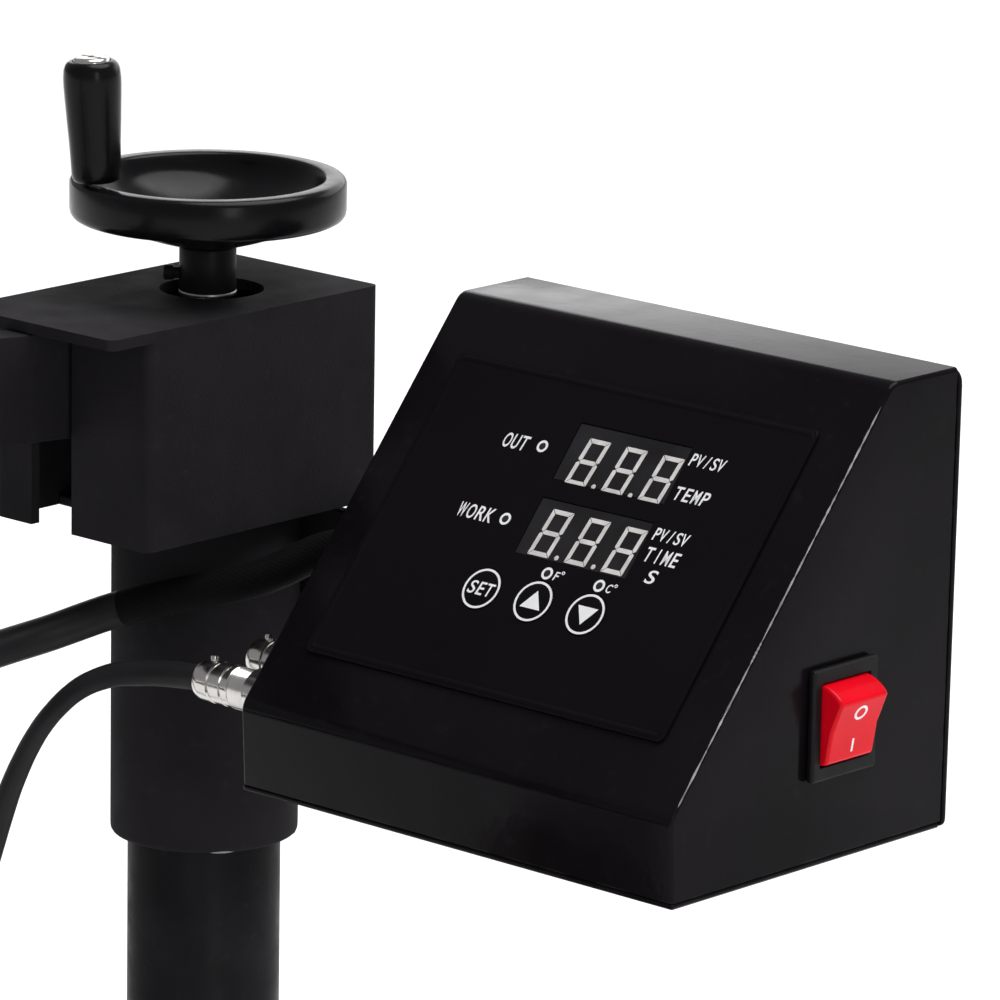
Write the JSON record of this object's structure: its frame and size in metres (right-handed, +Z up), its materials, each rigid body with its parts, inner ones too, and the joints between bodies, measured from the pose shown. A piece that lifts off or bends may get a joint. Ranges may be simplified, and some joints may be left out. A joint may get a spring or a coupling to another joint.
{
  "type": "mug heat press",
  "caption": "Swing-away combo heat press with a hinged arm and flat platen, pressure handwheel, control box and a clam-shell mug clamp with a cam lever.",
  "frame": {"origin": "the column's axis on the standing surface, at the underside of the column's foot", "axes": "+Z up, the arm and platen point along -Y, the control box is at +X"},
  "size_m": [0.401, 0.583, 0.478],
  "materials": {
    "powder_coat": "fine textured matte black powder coat",
    "gloss_enamel": "gloss black enamel",
    "blacked_steel": "blackened steel, satin",
    "phenolic": "moulded black phenolic, gloss",
    "steel": "bright machined steel",
    "nickel": "nickel plate",
    "aluminium": "cast aluminium, machined face",
    "overlay_film": "satin black keypad film",
    "window": "smoked display window",
    "key_film": "satin black key with a white ring",
    "black_plastic": "moulded black plastic",
    "red_plastic": "clear red moulded plastic",
    "rubber": "black rubber",
    "silicone": "red-brown silicone heater mat",
    "circuit_board": "green solder mask",
    "fibre_board": "pressed ceramic fibre board",
    "lead_jacket": "black braided sleeve and black jacket"
  },
  "bodies": {
    "root": {"base_frame": "powder_coat", "mug_lead_lower": "lead_jacket", "foot_column": "rubber", "foot_front_left": "rubber", "foot_front_right": "rubber", "foot_rear_left": "rubber", "foot_rear_right": "rubber", "column_post": "blacked_steel", "post_top_plug": "black_plastic", "pedestal_socket": "powder_coat", "mug_saddle": "powder_coat", "mug_fixed_shell": "powder_coat", "mug_fixed_heater": "silicone", "mug_hinge_pin": "steel", "mug_lever_pin": "steel", "mug_lead_gland": "black_plastic"},
    "pedestal_knob": {"pedestal_knob": "phenolic"},
    "mug_jaw": {"mug_swing_shell": "powder_coat", "mug_swing_heater": "silicone"},
    "mug_lever": {"mug_lever": "blacked_steel", "mug_lever_grip": "phenolic"},
    "head": {"swing_sleeve": "powder_coat", "head_shell": "powder_coat", "head_top_plate": "powder_coat", "arm_pivot_pin": "steel", "arm_return_spring": "steel", "box_bracket": "powder_coat", "control_shell": "gloss_enamel", "control_rear_cover": "gloss_enamel", "control_bottom_plate": "gloss_enamel", "panel_overlay": "overlay_film", "display_upper": "window", "display_lower": "window", "circuit_board": "circuit_board", "rocker_bezel": "black_plastic", "connector_front": "nickel", "connector_rear": "nickel", "lead_gland": "black_plastic", "heater_lead": "lead_jacket", "mug_lead_upper": "lead_jacket", "head_floor": "powder_coat"},
    "pressure_wheel": {"handwheel": "phenolic", "wheel_coupling": "blacked_steel", "wheel_set_screw": "blacked_steel", "pressure_screw": "steel", "grip_spindle": "nickel"},
    "crank_grip": {"crank_grip": "phenolic"},
    "pressure_block": {"pressure_block": "steel"},
    "rocker": {"rocker_button": "red_plastic"},
    "key_set": {"key_set": "key_film"},
    "key_up": {"key_up": "key_film"},
    "key_down": {"key_down": "key_film"},
    "arm": {"arm_bar": "powder_coat", "arm_grip": "rubber", "hanger_pin": "steel"},
    "platen": {"platen_hanger": "powder_coat", "platen_cover": "powder_coat", "insulation_board": "fibre_board", "heating_plate": "aluminium", "platen_gland": "black_plastic"}
  },
  "joints": [
    {"name": "head_swing", "type": "hinge", "parent": "root", "child": "head", "pos_m": [0, 0, 0.3], "axis": [0, 0, 1], "range_deg": [-90, 90]},
    {"name": "arm_press", "type": "hinge", "parent": "head", "child": "arm", "pos_m": [-0.0067, -0.038, 0.3911], "axis": [1, 0, 0], "range_deg": [0, 5], "stiffness_Nm_per_rad": 70, "springref_deg": -25.78},
    {"name": "platen_level", "type": "hinge", "parent": "arm", "child": "platen", "pos_m": [-0.0067, -0.34985, 0.41163], "axis": [1, 0, 0], "range_deg": [-5, 0]},
    {"name": "wheel_spin", "type": "hinge", "parent": "head", "child": "pressure_wheel", "pos_m": [0, 0, 0.43], "axis": [0, 0, 1], "range_deg": [-360, 720]},
    {"name": "pressure_slide", "type": "slide", "parent": "head", "child": "pressure_block", "axis": [0, 0, 1], "range_m": [-0.002, 0.004]},
    {"name": "grip_spin", "type": "hinge", "parent": "pressure_wheel", "child": "crank_grip", "pos_m": [-0.01184, -0.03069, 0.4431], "axis": [-0.0333, -0.0305, 0.999], "continuous": true},
    {"name": "rocker_switch", "type": "hinge", "parent": "head", "child": "rocker", "pos_m": [0.2326, -0.00585, 0.3379], "axis": [0, 1, 0], "range_deg": [-32, 0]},
    {"name": "press_set", "type": "slide", "parent": "head", "child": "key_set", "axis": [0, 0.7698, -0.6383], "range_m": [0, 0.0004], "stiffness_N_per_m": 300, "springref_m": -0.0004},
    {"name": "press_up", "type": "slide", "parent": "head", "child": "key_up", "axis": [0, 0.7698, -0.6383], "range_m": [0, 0.0004], "stiffness_N_per_m": 300, "springref_m": -0.0004},
    {"name": "press_down", "type": "slide", "parent": "head", "child": "key_down", "axis": [0, 0.7698, -0.6383], "range_m": [0, 0.0004], "stiffness_N_per_m": 300, "springref_m": -0.0004},
    {"name": "lever_swing", "type": "hinge", "parent": "root", "child": "mug_lever", "pos_m": [0.07, -0.35, 0.156], "axis": [0, 1, 0], "range_deg": [0, 100]},
    {"name": "jaw_open", "type": "hinge", "parent": "root", "child": "mug_jaw", "pos_m": [0, -0.35, 0.1], "axis": [0, 1, 0], "range_deg": [0, 9.1]},
    {"name": "knob_turn", "type": "hinge", "parent": "root", "child": "pedestal_knob", "pos_m": [0.03, -0.35, 0.068], "axis": [1, 0, 0], "range_deg": [0, 360]}
  ],
  "couplings": [
    {"joint": "platen_level", "follows": "arm_press", "ratio": -1},
    {"joint": "pressure_slide", "follows": "wheel_spin", "m_per_rad": 0.0003183},
    {"joint": "jaw_open", "follows": "lever_swing", "ratio": 0.09}
  ]
}
